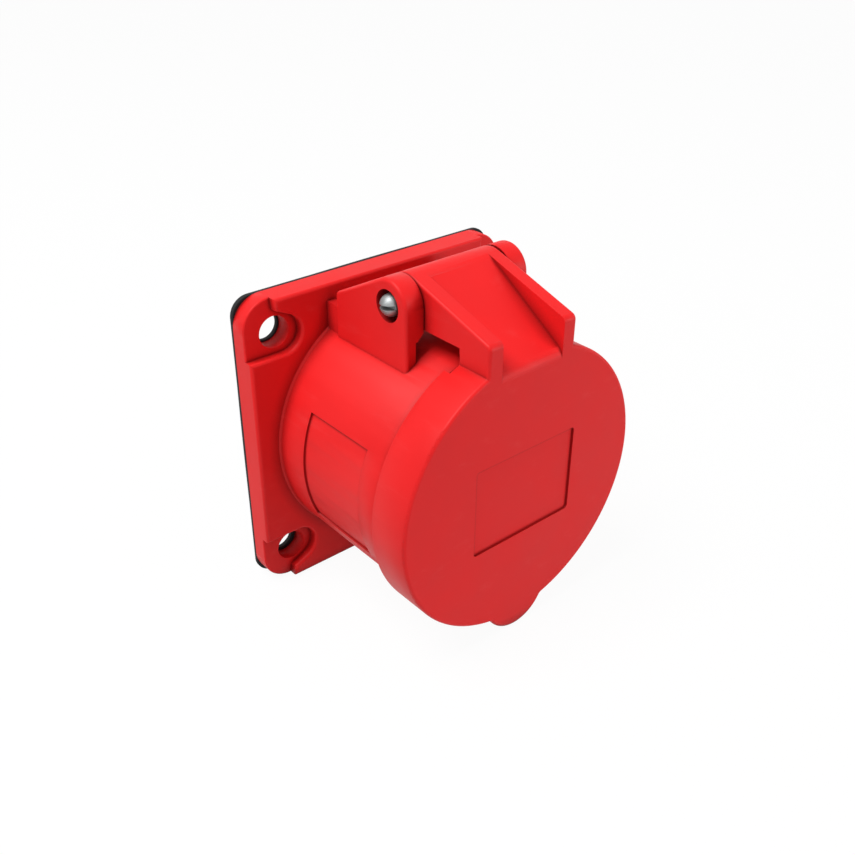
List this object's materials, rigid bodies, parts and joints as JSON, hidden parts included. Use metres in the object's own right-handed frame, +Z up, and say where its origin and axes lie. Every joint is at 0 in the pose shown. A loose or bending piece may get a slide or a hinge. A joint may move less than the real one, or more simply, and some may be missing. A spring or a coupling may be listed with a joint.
{
  "type": "industrial panel socket",
  "caption": "Square-flanged round industrial power socket for panel mounting, with a sprung hinged lid over its recessed pin contacts.",
  "frame": {"origin": "centre of the gasket's back face, where the socket meets the panel", "axes": "+Z up towards the hinge, the socket faces -Y, +X to the right of someone facing it"},
  "size_m": [0.075, 0.0766, 0.084],
  "materials": {
    "red_moulding": "satin moulded thermoplastic",
    "black_rubber": "matt foam rubber",
    "grey_rubber": "soft matt rubber",
    "grey_moulding": "matt moulded thermoplastic",
    "brass": "machined",
    "zinc_steel": "zinc plated",
    "spring_steel": "drawn wire and strip"
  },
  "bodies": {
    "housing": {"flange_gasket": "black_rubber", "socket_housing": "red_moulding", "hinge_screw": "zinc_steel", "hinge_spring": "spring_steel", "contact_carrier": "grey_moulding", "terminal_holder": "grey_moulding", "carrier_cover": "grey_moulding", "terminal_screws": "zinc_steel", "carrier_screws": "zinc_steel", "cover_screw": "zinc_steel", "contact_l1": "brass", "ring_l1": "spring_steel", "contact_l2": "brass", "ring_l2": "spring_steel", "contact_l3": "brass", "ring_l3": "spring_steel", "contact_n": "brass", "ring_n": "spring_steel", "contact_pe": "brass", "ring_pe": "spring_steel"},
    "lid": {"lid_cover": "red_moulding", "lid_seal": "grey_rubber"}
  },
  "joints": [
    {"name": "lid_hinge", "type": "hinge", "parent": "housing", "child": "lid", "pos_m": [0, -0.0298, 0.0402], "axis": [-1, 0, 0], "range_deg": [0, 110], "stiffness_Nm_per_rad": 0.05, "springref_deg": -57.3, "deforming": ["hinge_spring"]}
  ]
}
